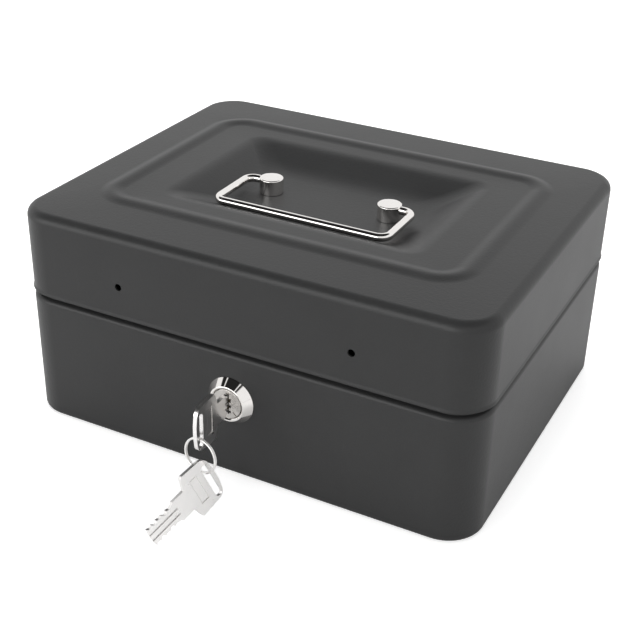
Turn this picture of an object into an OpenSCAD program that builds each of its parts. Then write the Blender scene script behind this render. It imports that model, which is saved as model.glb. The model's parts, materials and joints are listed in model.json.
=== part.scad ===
// A small steel cash box: a pressed base and lid, two hinges at the back, a folding wire handle in a
// recess of the lid, a cam lock in the front wall, a lift-out coin tray, and two keys on a split ring.
// Millimetres. X runs to the right along the front, Y to the back, Z up. The origin is the centre of the
// footprint on the table. As drawn, the lid is shut, the lock is turned to open, and the handle lies forward.

/* [Box] */
// Outside width, left to right
box_w = 200; // [190:1:240]
// Outside depth, front to back
box_d = 160; // [152:1:190]
// Height of the flat border of the lid
box_h = 92.5; // [90:0.5:110]
// Radius of the four upright corners
corner_r = 15.4; // [12:0.1:20]
// Thickness of the sheet steel
sheet = 0.9; // [0.7:0.1:1]
// Height of the lower edge of the lid
seam_z = 57; // [54:0.5:60]
// Gap between the lid and the shoulder of the base
seam_gap = 2.2; // [2:0.1:3]

/* [Lid] */
// Radius of the top edge of the lid
top_edge_r = 4; // [3:0.1:6]
// Half width of the pressed ridge's crest line, left to right
ridge_x = 77.2; // [74:0.1:80]
// Half depth of the ridge's crest line, front to back
ridge_y = 51.8; // [48:0.1:54]
// Height of the ridge above the border
ridge_h = 1.1; // [0.8:0.1:1.5]
// Depth of the handle recess
well_depth = 7.1; // [6.5:0.1:7.5]
// Half width of the recess at its rim
well_x = 55; // [52:0.5:60]
// Half depth of the recess at its rim, front to back
well_y = 37.5; // [37:0.5:40]
// Run of the sloping recess walls, seen from above
well_run = 15.9; // [14:0.1:16]

/* [Handle] */
// Distance from the middle of the lid to each post
post_x = 27.3; // [25:0.1:29]
// Diameter of a post
post_d = 10.2; // [9:0.1:11]
// Height of a post above the floor of the recess
post_h = 6.75; // [6.5:0.05:7]
// Diameter of the bail wire
wire_d = 3.4; // [3:0.1:3.5]
// Distance from the pivots to the middle of the grip wire
bail_reach = 27.6; // [26:0.1:27.6]
// Distance from the middle of the lid to the middle of a side wire
bail_x = 38.1; // [37:0.1:39]

/* [Lock] */
// Height of the lock's axis above the table
lock_z = 34.5; // [33:0.5:36]
// Diameter of the bezel where it meets the wall
bezel_d = 20; // [19:0.5:22]
// How far the bezel stands out from the wall
bezel_h = 3.5; // [3:0.1:4]
// Length of the cam from the lock's axis to its tip
cam_len = 21; // [20:0.5:21]

/* [Keys and tray] */
// Width of a key's bow
bow_w = 20.3; // [18:0.1:21]
// Thickness of a key
key_t = 2; // [1.6:0.1:2]
// Mean radius of the split ring
ring_r = 7.15; // [7.05:0.05:7.25]
// Height of the coin tray
tray_h = 26; // [20:1:26]
// Number of coin cups in the back row of the tray
cups = 4; // [2:1:6]

/* [Hidden] */
$fn = 64;

eps = 0.01;
steel_grey = [0.24, 0.24, 0.25];
chrome = [0.82, 0.82, 0.84];
zinc = [0.72, 0.72, 0.70];
brass = [0.78, 0.66, 0.38];

// Base and its inner lip
shoulder_z = seam_z - seam_gap;
step_in = 2.4;
lip_z = seam_z + 6;
bottom_edge_r = 2;
shoulder_r = 1;
straight_w = box_w - 2 * corner_r;
straight_d = box_d - 2 * corner_r;
wall_x = box_w / 2 - sheet;
wall_y = box_d / 2 - sheet;
lip_y = box_d / 2 - step_in - sheet;

// Flare at the lower edge of the lid, and the two holes in its front
flare = 0.35;
flare_h = 1.2;
flare_straight = 0.3;
front_hole_d = 3;
front_hole_x = 50;
front_hole_z = seam_z + 13.1;

// Ridge: half its width, the bend of its crest and of its feet, and the radius of its corners
ridge_half = 5.4;
ridge_bend = (pow(ridge_half, 2) + pow(ridge_h, 2)) / (4 * ridge_h);
ridge_corner = 12;

// Recess: its floor, the slope of its sides, and how far a corner moves for each millimetre of gap
well_floor = box_h - well_depth;
well_slope = atan(well_depth / well_run);
well_turn = tan(well_slope / 2);
rim_bend = 15;
foot_bend = 26;

// Handle
post_over = 0.27;
post_top = well_floor + post_h;
post_bevel = 0.4;
bail_bend = 4.2;
bail_in_post = 6;
pivot_fit = 0.08;
pivot_r = wire_d / 2 + pivot_fit;
pivot_z = post_top - post_over - pivot_r;
pivot_end_gap = 0.5;
screw_r = 1.6;
screw_in_post = pivot_z - well_floor - pivot_r - 0.32;
screw_room = 0.2;
screw_hole_fit = 0.1;
washer_t = 0.8;
washer_fit = 0.2;
screw_head_r = 3.2;
screw_head_t = 2;
handle_washer_r = 4.5;
// Cross recess of every screw head
cross_len = 3.6;
cross_w = 0.9;

// Hinges
hinge_x = 62;
hinge_len = 30;
hinge_y = box_d / 2 + 2.4;
hinge_z = seam_z - 1;
knuckle_r = 1.9;
hinge_pin_r = 1;
pin_fit = 0.05;
knuckle_gap = 0.5;
leaf_t = 0.8;
leaf_h = 7;
lid_leaf_h = 10;
end_knuckle = 8;
strap_fit = 0.4;
strap_gap = 0.1;
strap_slot = leaf_t + 0.2;

// Lock, along Y from the face inward
wall_out = -box_d / 2;
wall_in = wall_out + sheet;
face_y = wall_out - bezel_h;
face_r = 7.5;
bezel_foot = 0.4;
bezel_step = 0.2;
barrel_r = 8.4;
barrel_flat = 7.4;
barrel_end = wall_out + 14.5;
plug_r = 6;
plug_head_r = 6.3;
plug_head_t = 1.5;
plug_sink = 0.3;
plug_fit = 0.05;
keyway_w = key_t + 0.2;
keyway_h = 8.3;
keyway_end = 0.5;
stop_t = 0.8;
stop_gap = 0.2;
stop_disc_r = 6.6;
stop_rim_r = stop_disc_r + 0.3;
stop_tab = 1.8;
stop_from = stop_tab + 0.8;
cam_t = 1.5;
cam_gap = 0.1;
cam_y = barrel_end + stop_gap + stop_t + cam_gap;
cam_w = 8;
cam_hub_r = 6.2;
// Square end of the plug, and its clearance in the washer and the cam
drive = 5;
drive_hole = drive / 2 + 0.05;
cam_washer_t = 0.8;
cam_washer_r = 4.4;
cam_washer_split = 0.6;
cam_screw_r = 1.9;
cam_screw_len = 3.8;
cam_head_r = 3.8;
cam_head_t = 2.4;
nut_t = 2.8;
nut_af = 21;
tooth_t = 0.8;
tooth_ring_r = 10;
tooth_len = 1;
tooth_w = 1.8;
wafer_count = 5;
wafer_pitch = 2.1;
wafer_t = 0.9;
wafer_first = wall_out - 0.6;
wafer_half = 2.5;
wafer_lug = 4;
wafer_fit = 0.08;
wafer_side_fit = 0.1;
wafer_groove = 1;
wafer_groove_fit = 0.2;
wafer_groove_from = wall_out - 1.5;
wafer_groove_to = wall_out + 12.5;
wafer_lug_low = 0.5;
wafer_lug_high = 0.7;
spring_z = 0.52;
spring_len = 2.6;
spring_end = 3.2;
spring_r = 0.4;

// Catch on the lid
catch_x = 17.5;
catch_w = 10;
catch_plate_w = 18;
catch_t = 1.2;
catch_step = 3.3;
catch_leg_y = -lip_y + catch_step;
catch_top = lip_z + 19;
catch_ledge_z = lock_z - 6;
catch_reach = 11.2;
catch_rest = 0.3;

// Coin tray and its rails
rail_t = 1;
rail_z = 34;
rail_h = 10;
rail_reach = 9;
rail_front = -50;
rail_back = 60;
tray_gap = 0.2;
tray_wall = 1.6;
tray_x = box_w / 2 - 4.6;
tray_front = wall_out + 23;
tray_back = box_d / 2 - 6;
tray_corner = 11;
tray_z = rail_z + tray_gap;
cup_depth_y = 66;
cup_round = 14;
trough_round = 10;

// Keys: u runs from the bow to the tip, v across the key
bow_len = 12;
bow_bulge = 1;
bow_flat = 2.5;
bow_shoulder = 1.7;
bow_corner = 0.8;
collar_w = 9.6;
collar_end = 7.6;
blade_w = 7.9;
blade_start = 8.2;
key_tip = 21.5;
key_tip_half = 1.6;
slot_u = -10;
slot_r = 1.5;
slot_top = -5.3;
slot_low = 7;
panel_u = 3.9;
panel_len = 11.5;
panel_w = 3.4;
panel_sink = 0.25;
groove_v = 1.3;
groove_w = 0.8;
groove_sink = 0.35;
key_y = wall_out - 12.5;
cut_depths = [0.4, 1.0, 0.3, 0.9, 0.5];
cut_pitch = 2.5;

// Split ring and the spare key that hangs from it, resting on the table
ring_thick = 0.8;
ring_width = 1.3;
ring_edge = 0.15;
ring_at = [0.76, wall_out - 23.41, lock_z - 11.03];
ring_turn = [0, 87.1, -98];
spare_at = [2.33, wall_out - 32.95, 11.27];
spare_turn = [-75.4, 19.4, -104.5];

// ---------- shapes that repeat ----------

// A wall section, drawn outward from a corner's centre, carried round a rounded rectangle
module round_the_corners(w, d, r) {
  for (quarter = [0 : 3]) {
    sx = (quarter == 0 || quarter == 3) ? 1 : -1;
    sy = (quarter < 2) ? 1 : -1;
    translate([sx * (w / 2 - r), sy * (d / 2 - r), 0])
      rotate([0, 0, quarter * 90])
        rotate_extrude(angle = 90)
          children();
  }
  for (side = [0, 180])
    rotate([0, 0, side])
      translate([w / 2 - r, 0, 0])
        rotate([90, 0, 0])
          linear_extrude(d - 2 * r, center = true)
            children();
  for (side = [90, 270])
    rotate([0, 0, side])
      translate([d / 2 - r, 0, 0])
        rotate([90, 0, 0])
          linear_extrude(w - 2 * r, center = true)
            children();
}

// A flat plate with rounded corners
module rounded_plate(w, d, r, t) {
  linear_extrude(t)
    union() {
      square([w - 2 * r, d], center = true);
      square([w, d - 2 * r], center = true);
      for (sx = [-1, 1])
        for (sy = [-1, 1])
          translate([sx * (w / 2 - r), sy * (d / 2 - r)])
            circle(r);
    }
}

// A block given by its two corners
module box_between(a, b) {
  translate(a)
    cube(b - a);
}

// A round bar along Y between two places
module bar_y(y0, y1, r) {
  translate([0, y0, 0])
    rotate([-90, 0, 0])
      cylinder(r = r, h = y1 - y0);
}

// A round bar along X between two places
module bar_x(x0, x1, r) {
  translate([x0, 0, 0])
    rotate([0, 90, 0])
      cylinder(r = r, h = x1 - x0);
}

// ---------- base ----------

// Outline of the base from a corner's centre outward, moved in by a gap
module base_outline(gap) {
  edge = bottom_edge_r - gap;
  top = shoulder_z - gap;
  out = corner_r - gap;
  above = gap > 0 ? 1 : 0;
  translate([0, gap + edge])
    square([out, top - gap - edge - shoulder_r]);
  translate([0, gap])
    square([out - edge, edge + eps]);
  translate([out - edge, gap + edge])
    circle(edge);
  if (gap > 0) {
    square_top(out, top);
  } else {
    square_top(out - shoulder_r, top);
    translate([out - shoulder_r, top - shoulder_r])
      circle(shoulder_r);
  }
  translate([0, gap + edge])
    square([out - step_in, lip_z + above - gap - edge]);
}

// The top band of the outline, under the shoulder
module square_top(out, top) {
  translate([0, top - shoulder_r - eps])
    square([out, shoulder_r + eps]);
}

module base_section() {
  difference() {
    base_outline(0);
    base_outline(sheet);
  }
}

module base_shell() {
  color(steel_grey)
    difference() {
      union() {
        round_the_corners(box_w, box_d, corner_r)
          base_section();
        translate([0, 0, sheet / 2])
          cube([straight_w, straight_d, sheet], center = true);
      }
      lock_opening();
      // Slots in the lip for the hinge straps
      for (sx = [-1, 1])
        translate([sx * hinge_x, lip_y + sheet / 2, shoulder_z + strap_slot / 2])
          cube([hinge_len + 2 * strap_fit, 2 * sheet, strap_slot], center = true);
    }
}

// The hole for the lock, round with two flats
module lock_opening() {
  translate([0, wall_out - 1, lock_z])
    rotate([-90, 0, 0])
      linear_extrude(sheet + 2)
        intersection() {
          circle(barrel_r + pin_fit);
          square([2 * (barrel_flat + pin_fit), 4 * barrel_r], center = true);
        }
}

// ---------- lid ----------

// Outline of the lid from a corner's centre outward, moved in by a gap
module lid_outline(gap) {
  edge = top_edge_r - gap;
  top = box_h - gap;
  out = corner_r - gap;
  low = gap > 0 ? seam_z - 1 : seam_z;
  translate([0, low])
    square([out, top - edge - low]);
  translate([0, low])
    square([out - edge, top - low]);
  translate([out - edge, top - edge])
    circle(edge);
}

module lid_section() {
  difference() {
    union() {
      lid_outline(0);
      polygon([[corner_r - eps, seam_z], [corner_r + flare, seam_z],
        [corner_r + flare, seam_z + flare_straight], [corner_r - eps, seam_z + flare_h]]);
    }
    lid_outline(sheet);
  }
}

// Section of the ridge, moved in by a gap: a crest that flows into two hollow feet, from a height upward
module ridge_section(gap, from_z) {
  crest = ridge_bend - gap;
  crest_z = box_h + ridge_h - ridge_bend;
  meet_z = crest_z + crest * (1 - ridge_h / (2 * ridge_bend));
  difference() {
    translate([-ridge_half, from_z])
      square([2 * ridge_half, meet_z - from_z]);
    for (side = [-1, 1])
      translate([side * ridge_half, box_h + ridge_bend])
        circle(ridge_bend + gap, $fn = 160);
  }
  intersection() {
    translate([0, crest_z])
      circle(crest, $fn = 160);
    translate([-ridge_half, meet_z])
      square([2 * ridge_half, ridge_h]);
  }
}

module ridge_band(gap, from_z) {
  round_the_corners(2 * ridge_x, 2 * ridge_y, ridge_corner)
    translate([ridge_corner, 0])
      ridge_section(gap, from_z);
}

// The space above the recess's sides and floor, moved down into the sheet by a gap
module funnel(gap) {
  intersection() {
    rotate([90, 0, 0])
      linear_extrude(2 * box_d, center = true)
        funnel_section(well_x, gap);
    rotate([90, 0, 90])
      linear_extrude(2 * box_w, center = true)
        funnel_section(well_y, gap);
  }
}

module funnel_section(half, gap) {
  rim = half + gap * well_turn;
  foot = rim - well_run;
  top = box_h - gap;
  low = well_floor - gap;
  difference() {
    union() {
      polygon([[-foot, low], [foot, low], [rim, top], [rim, box_h + 2], [-rim, box_h + 2], [-rim, top]]);
      for (side = [0, 1])
        mirror([side, 0])
          bent_corner(rim, top, rim_bend - gap, 1);
    }
    for (side = [0, 1])
      mirror([side, 0])
        bent_corner(foot, low, foot_bend + gap, -1);
  }
}

// What lies between a sharp corner of the recess's section and its bend. It turns down at the rim and up at
// the foot, which the last value tells as 1 or -1.
module bent_corner(x, z, bend, way) {
  run = way * bend * well_turn;
  difference() {
    polygon([[x, z], [x + run, z], [x - run * cos(well_slope), z - run * sin(well_slope)]]);
    translate([x + run, z - way * bend])
      circle(bend, $fn = 160);
  }
}

module lid_shell() {
  color(steel_grey)
    difference() {
      union() {
        difference() {
          union() {
            round_the_corners(box_w, box_d, corner_r)
              lid_section();
            translate([0, 0, box_h - sheet / 2])
              cube([straight_w, straight_d, sheet], center = true);
            ridge_band(0, box_h - sheet / 2);
          }
          ridge_band(sheet, box_h - 2 * sheet);
          box_between([-well_x, -well_y, box_h - 2], [well_x, well_y, box_h + 1]);
        }
        intersection() {
          funnel(sheet);
          box_between([-box_w / 2, -box_d / 2, 0], [box_w / 2, box_d / 2, box_h]);
        }
      }
      funnel(0);
      for (sx = [-1, 1]) {
        translate([sx * post_x, 0, well_floor - 2])
          cylinder(r = screw_r + screw_hole_fit, h = 3);
        translate([sx * front_hole_x, 0, front_hole_z])
          bar_y(wall_out - 1, wall_in + 1, front_hole_d / 2);
      }
    }
}

// ---------- hinges ----------

// Knuckle barrel along X about the hinge axis
module knuckle(x0, x1) {
  difference() {
    bar_x(x0, x1, knuckle_r);
    bar_x(x0 - 1, x1 + 1, hinge_pin_r + pin_fit);
  }
}

module base_hinge_leaves() {
  half = hinge_len / 2;
  inner = half - end_knuckle;
  color(steel_grey)
    for (sx = [-1, 1])
      translate([sx * hinge_x, 0, 0]) {
        for (side = [-1, 1])
          difference() {
            union() {
              translate([0, hinge_y, hinge_z])
                bar_x(side < 0 ? -half : inner, side < 0 ? -inner : half, knuckle_r);
              box_between([side < 0 ? -half : inner, lip_y - leaf_t, shoulder_z + strap_gap / 2],
                [side < 0 ? -inner : half, hinge_y, shoulder_z + strap_gap / 2 + leaf_t]);
            }
            translate([0, hinge_y, hinge_z])
              bar_x(-half - 1, half + 1, hinge_pin_r + pin_fit);
          }
        box_between([-half, lip_y - leaf_t, shoulder_z + strap_gap / 2], [half, lip_y, shoulder_z + leaf_h]);
      }
}

module lid_hinge_leaves() {
  half = hinge_len / 2;
  inner = half - end_knuckle - knuckle_gap;
  low = seam_z - leaf_t - strap_gap;
  color(steel_grey)
    for (sx = [-1, 1])
      translate([sx * hinge_x, 0, 0]) {
        difference() {
          union() {
            translate([0, hinge_y, hinge_z])
              bar_x(-inner, inner, knuckle_r);
            box_between([-inner, wall_y - leaf_t, low], [inner, hinge_y, low + leaf_t]);
          }
          translate([0, hinge_y, hinge_z])
            bar_x(-half, half, hinge_pin_r + pin_fit);
        }
        box_between([-inner, wall_y - leaf_t, low], [inner, wall_y, seam_z + lid_leaf_h]);
      }
}

module hinge_pins() {
  color(zinc)
    for (sx = [-1, 1])
      translate([sx * hinge_x, hinge_y, hinge_z])
        bar_x(-hinge_len / 2 - strap_fit, hinge_len / 2 + strap_fit, hinge_pin_r);
}

// ---------- handle ----------

module handle_post(side) {
  color(chrome)
    translate([side * post_x, 0, 0])
      difference() {
        union() {
          translate([0, 0, well_floor])
            cylinder(d = post_d, h = post_h - post_bevel);
          translate([0, 0, post_top - post_bevel])
            cylinder(d1 = post_d, d2 = post_d - 2 * post_bevel, h = post_bevel);
        }
        translate([0, 0, well_floor - 1])
          cylinder(r = screw_r + pin_fit, h = screw_in_post + 1 + screw_room);
        translate([0, 0, pivot_z])
          rotate([0, side * 90, 0])
            translate([0, 0, post_d / 2 - bail_in_post - pivot_end_gap])
              cylinder(r = pivot_r, h = post_d);
      }
}

module handle_post_left() {
  handle_post(-1);
}

module handle_post_right() {
  handle_post(1);
}

// Half of the bail: a pivot end, a bend, a side wire, a bend, and half of the grip
module bail_half() {
  start = post_x + post_d / 2 - bail_in_post;
  r = wire_d / 2;
  bar_x(start, bail_x - bail_bend, r);
  translate([bail_x, 0, 0])
    bar_y(-bail_reach + bail_bend, -bail_bend, r);
  translate([0, -bail_reach, 0])
    bar_x(-eps, bail_x - bail_bend, r);
  translate([bail_x - bail_bend, -bail_bend, 0])
    rotate_extrude(angle = 90)
      translate([bail_bend, 0])
        circle(r);
  translate([bail_x - bail_bend, -bail_reach + bail_bend, 0])
    rotate([0, 0, -90])
      rotate_extrude(angle = 90)
        translate([bail_bend, 0])
          circle(r);
}

module handle_bail() {
  color(chrome)
    translate([0, 0, pivot_z])
      union() {
        bail_half();
        mirror([1, 0, 0])
          bail_half();
      }
}

module handle_screws() {
  under = well_floor - sheet - washer_t;
  color(zinc)
    for (sx = [-1, 1])
      translate([sx * post_x, 0, 0])
        difference() {
          union() {
            translate([0, 0, under - screw_head_t])
              cylinder(r = screw_head_r, h = screw_head_t);
            translate([0, 0, under - eps])
              cylinder(r = screw_r, h = well_floor + screw_in_post - under);
          }
          for (turn = [0, 90])
            rotate([0, 0, turn])
              translate([0, 0, under - screw_head_t])
                cube([cross_len, cross_w, screw_head_t], center = true);
        }
}

module handle_washers() {
  color(zinc)
    for (sx = [-1, 1])
      translate([sx * post_x, 0, well_floor - sheet - washer_t])
        difference() {
          cylinder(r = handle_washer_r, h = washer_t);
          translate([0, 0, -1])
            cylinder(r = screw_r + washer_fit, h = washer_t + 2);
        }
}

// ---------- lock ----------

module at_lock() {
  translate([0, 0, lock_z])
    children();
}

module lock_housing() {
  color(chrome)
    at_lock()
      difference() {
        union() {
          // Bezel: a cone that stands on a thin round foot
          translate([0, face_y, 0])
            rotate([-90, 0, 0]) {
              cylinder(r1 = face_r, r2 = bezel_d / 2 - bezel_step, h = bezel_h - bezel_foot);
              translate([0, 0, bezel_h - bezel_foot])
                cylinder(r = bezel_d / 2, h = bezel_foot);
            }
          intersection() {
            bar_y(wall_out - eps, barrel_end, barrel_r);
            box_between([-barrel_flat, wall_out - 1, -barrel_r], [barrel_flat, barrel_end + 1, barrel_r]);
          }
          // Raised rim at the back that the stop washer's tab turns between
          intersection() {
            translate([0, barrel_end - eps, 0])
              rotate([-90, 0, 0])
                rotate_extrude()
                  translate([stop_rim_r, 0])
                    square([barrel_r - stop_rim_r, stop_gap + stop_t]);
            union() {
              translate([0, barrel_end, -stop_from - barrel_r / 2])
                cube([2 * barrel_flat, 4, barrel_r], center = true);
              translate([-stop_from - barrel_r / 2, barrel_end, 0])
                cube([barrel_r, 4, 2 * barrel_flat], center = true);
            }
          }
        }
        bar_y(face_y - 1, barrel_end + 1, plug_r + plug_fit);
        bar_y(face_y - 1, face_y + plug_sink + plug_head_t + plug_fit, plug_head_r + plug_fit);
        // Grooves above and below the plug that hold the wafers when there is no key
        for (sz = [-1, 1])
          translate([0, 0, sz * plug_r])
            box_between([-wafer_half - wafer_groove_fit, wafer_groove_from, -wafer_groove],
              [wafer_half + wafer_groove_fit, wafer_groove_to, wafer_groove]);
      }
}

module lock_plug() {
  head_y = face_y + plug_sink;
  keyway_len = key_y + key_tip + keyway_end - head_y;
  color(zinc)
    at_lock()
      difference() {
        union() {
          bar_y(head_y, head_y + plug_head_t, plug_head_r);
          bar_y(head_y, barrel_end + 0.1, plug_r);
          translate([0, (barrel_end + cam_y + cam_t - cam_gap) / 2, 0])
            cube([drive, cam_y + cam_t - cam_gap - barrel_end + eps, drive], center = true);
        }
        // Keyway
        translate([0, head_y + keyway_len / 2, 0])
          cube([keyway_w, keyway_len + eps, keyway_h], center = true);
        // Slots for the wafers and their springs
        for (i = [0 : wafer_count - 1])
          translate([0, wafer_first + i * wafer_pitch, 0]) {
            box_between([-wafer_half - wafer_fit, -wafer_side_fit, -plug_r - 1],
              [wafer_half + wafer_fit, wafer_t + wafer_side_fit, plug_r + 1]);
            box_between([wafer_half - 1, -wafer_side_fit, -wafer_lug_high - wafer_lug_low],
              [wafer_lug + 0.3, wafer_t + wafer_side_fit, spring_end]);
          }
        bar_y(barrel_end - cam_screw_len - 0.2, cam_y + cam_t + 1, cam_screw_r + pin_fit);
      }
}

module lock_wafers() {
  color(brass)
    at_lock()
      for (i = [0 : wafer_count - 1])
        translate([0, wafer_first + i * wafer_pitch, 0])
          rotate([-90, 0, 0])
            linear_extrude(wafer_t)
              union() {
                difference() {
                  intersection() {
                    circle(plug_r - wafer_side_fit);
                    square([2 * wafer_half, 4 * plug_r], center = true);
                  }
                  square([keyway_w + wafer_side_fit, keyway_h + wafer_side_fit], center = true);
                }
                translate([wafer_half - 0.2, -wafer_lug_low])
                  square([wafer_lug - wafer_half + 0.2, wafer_lug_low + wafer_lug_high]);
              }
}

// Close-wound springs that push each wafer by its lug
module wafer_springs() {
  color(zinc)
    translate([(wafer_half + wafer_lug) / 2 + 0.1, wafer_first + wafer_t / 2, lock_z + spring_z])
      for (i = [0 : wafer_count - 1])
        translate([0, i * wafer_pitch, 0])
          cylinder(r = spring_r, h = spring_len, $fn = 24);
}

module lock_washer() {
  color(zinc)
    translate([0, wall_in, lock_z])
      rotate([-90, 0, 0])
        difference() {
          union() {
            cylinder(r = tooth_ring_r, h = tooth_t);
            for (turn = [0 : 30 : 330])
              rotate([0, 0, turn])
                translate([tooth_ring_r, 0, tooth_t / 2])
                  cube([2 * tooth_len, tooth_w, tooth_t], center = true);
          }
          translate([0, 0, -1])
            cylinder(r = barrel_r + 0.1, h = tooth_t + 2);
        }
}

module lock_nut() {
  color(zinc)
    translate([0, wall_in + tooth_t, lock_z])
      rotate([-90, 0, 0])
        difference() {
          rotate([0, 0, 30])
            cylinder(d = nut_af / cos(30), h = nut_t, $fn = 6);
          translate([0, 0, -1])
            cylinder(r = barrel_r + pin_fit, h = nut_t + 2);
        }
}

module stop_washer() {
  color(zinc)
    translate([0, barrel_end + stop_gap, lock_z])
      difference() {
        union() {
          bar_y(0, stop_t, stop_disc_r);
          box_between([-stop_tab, 0, 0], [stop_tab, stop_t, barrel_r - 0.4]);
        }
        box_between([-drive_hole, -1, -drive_hole], [drive_hole, stop_t + 1, drive_hole]);
      }
}

module lock_cam() {
  tip = cam_w / 2;
  color(zinc)
    translate([0, cam_y, lock_z])
      difference() {
        union() {
          bar_y(0, cam_t, cam_hub_r);
          box_between([-tip, 0, 0], [tip, cam_t, cam_len - tip]);
          translate([0, 0, cam_len - tip])
            bar_y(0, cam_t, tip);
        }
        box_between([-drive_hole, -1, -drive_hole], [drive_hole, cam_t + 1, drive_hole]);
      }
}

module cam_washer() {
  color(zinc)
    translate([0, cam_y + cam_t, lock_z])
      difference() {
        bar_y(0, cam_washer_t, cam_washer_r);
        bar_y(-1, cam_washer_t + 1, cam_screw_r + washer_fit);
        translate([cam_washer_r / 2 + 1, cam_washer_t / 2, 0])
          cube([cam_washer_r + 2, cam_washer_t + 2, cam_washer_split], center = true);
      }
}

module cam_screw() {
  head_y = cam_y + cam_t + cam_washer_t;
  color(zinc)
    at_lock()
      difference() {
        union() {
          bar_y(barrel_end - cam_screw_len, head_y + eps, cam_screw_r);
          bar_y(head_y, head_y + cam_head_t, cam_head_r);
        }
        for (turn = [0, 90])
          rotate([0, turn, 0])
            translate([0, head_y + cam_head_t, 0])
              cube([cross_len, cam_head_t, cross_w], center = true);
      }
}

// A bent plate on the lid: it steps over the lip and carries the ledge that the cam turns over
module lid_catch() {
  half = catch_w / 2;
  plate = catch_plate_w / 2;
  step_z = lip_z + catch_rest;
  leg_back = catch_leg_y + catch_t;
  ledge_end = leg_back + catch_reach;
  color(zinc)
    translate([catch_x, 0, 0])
      union() {
        box_between([-plate, wall_in, step_z], [plate, wall_in + catch_t, catch_top]);
        box_between([-half, wall_in, step_z], [half, leg_back, step_z + catch_t]);
        box_between([-half, catch_leg_y, catch_ledge_z], [half, leg_back, step_z + catch_t]);
        box_between([-half, catch_leg_y, catch_ledge_z], [half, ledge_end, catch_ledge_z + catch_t]);
      }
}

// ---------- tray ----------

// A hollow with its lower front and back edges rounded, so that coins slide out
module cup(w, d, depth, r) {
  rotate([90, 0, 90])
    linear_extrude(w)
      union() {
        translate([0, r])
          square([d, depth + 1 - r]);
        translate([r, 0])
          square([d - 2 * r, depth]);
        for (y = [r, d - r])
          translate([y, r])
            circle(r);
      }
}

module coin_tray() {
  w = 2 * tray_x;
  d = tray_back - tray_front;
  depth = tray_h - tray_wall;
  cup_w = (w - (cups + 1) * tray_wall) / cups;
  trough_d = d - cup_depth_y - 3 * tray_wall;
  color([0.16, 0.16, 0.17])
    difference() {
      translate([0, (tray_front + tray_back) / 2, tray_z])
        rounded_plate(w, d, tray_corner, tray_h);
      intersection() {
        translate([0, (tray_front + tray_back) / 2, tray_z])
          rounded_plate(w - 2 * tray_wall, d - 2 * tray_wall, tray_corner - tray_wall, tray_h + 1);
        union() {
          translate([-tray_x + tray_wall, tray_back - tray_wall - cup_depth_y, tray_z + tray_wall])
            for (i = [0 : cups - 1])
              translate([i * (cup_w + tray_wall), 0, 0])
                cup(cup_w, cup_depth_y, depth, cup_round);
          translate([-tray_x + tray_wall, tray_front + tray_wall, tray_z + tray_wall])
            cup(w - 2 * tray_wall, trough_d, depth, trough_round);
        }
      }
    }
}

// An angle along the side wall: one leg spot-welded to the wall, the other a ledge under the tray
module tray_rail() {
  color(steel_grey)
    union() {
      box_between([wall_x - rail_t, rail_front, rail_z - rail_h], [wall_x, rail_back, rail_z]);
      box_between([wall_x - rail_reach, rail_front, rail_z - rail_t], [wall_x, rail_back, rail_z]);
    }
}

module tray_rail_left() {
  mirror([1, 0, 0])
    tray_rail();
}

module tray_rail_right() {
  tray_rail();
}

// ---------- keys ----------

// Cut edge of the blade on one side, from the collar to the tip
function blade_edge(side) = [
  for (i = [0 : len(cut_depths) - 1])
    let (u = blade_start + 0.6 + i * cut_pitch)
      for (p = [[u, 0], [u + 0.8, cut_depths[i]], [u + 1.5, cut_depths[i]], [u + 2.3, 0.1]])
        [p[0], side * (blade_w / 2 - p[1])]
];

module key_outline() {
  half = bow_w / 2;
  right = blade_edge(1);
  left = blade_edge(-1);
  polygon(concat(
    [[0, -half], [bow_shoulder, -collar_w / 2], [collar_end, -collar_w / 2], [blade_start, -blade_w / 2]],
    left,
    [[key_tip, -key_tip_half], [key_tip, key_tip_half]],
    [for (i = [len(right) - 1 : -1 : 0]) right[i]],
    [[blade_start, blade_w / 2], [collar_end, collar_w / 2], [bow_shoulder, collar_w / 2], [0, half]],
    [[-bow_len, half - bow_corner], [-bow_len - bow_bulge, bow_flat], [-bow_len - bow_bulge, -bow_flat],
      [-bow_len, -half + bow_corner]]
  ));
}

// A flat key with its slot, its sunk panel and two grooves along the blade
module key_plate() {
  difference() {
    translate([0, 0, -key_t / 2])
      linear_extrude(key_t)
        difference() {
          key_outline();
          for (v = [slot_top, slot_low])
            translate([slot_u, v])
              circle(slot_r);
          translate([slot_u - slot_r, slot_top])
            square([2 * slot_r, slot_low - slot_top]);
        }
    for (side = [-1, 1]) {
      translate([-panel_u, 0, side * key_t / 2])
        cube([panel_w, panel_len, 2 * panel_sink], center = true);
      for (v = [-groove_v, groove_v])
        translate([(collar_end + key_tip) / 2 + 1, v, side * key_t / 2])
          cube([key_tip - collar_end, groove_w, 2 * groove_sink], center = true);
    }
  }
}

module lock_key() {
  color(chrome)
    translate([0, key_y, lock_z])
      rotate([-90, 0, 90])
        key_plate();
}

// Two turns of flattened wire that lie on each other, with a notch between them on both sides
module ring_section() {
  out = ring_thick / 2;
  flat = out - ring_edge;
  wide = ring_width / 2;
  side = wide - ring_edge;
  polygon([[flat, 0], [out, ring_edge], [out, side], [flat, wide], [-flat, wide], [-out, side],
    [-out, ring_edge], [-flat, 0], [-out, -ring_edge], [-out, -side], [-flat, -wide], [flat, -wide],
    [out, -side], [out, -ring_edge]]);
}

module key_ring() {
  color(chrome)
    translate(ring_at)
      rotate(ring_turn)
        rotate_extrude()
          translate([ring_r, 0])
            ring_section();
}

module spare_key() {
  color(chrome)
    translate(spare_at)
      rotate(spare_turn)
        key_plate();
}

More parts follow.
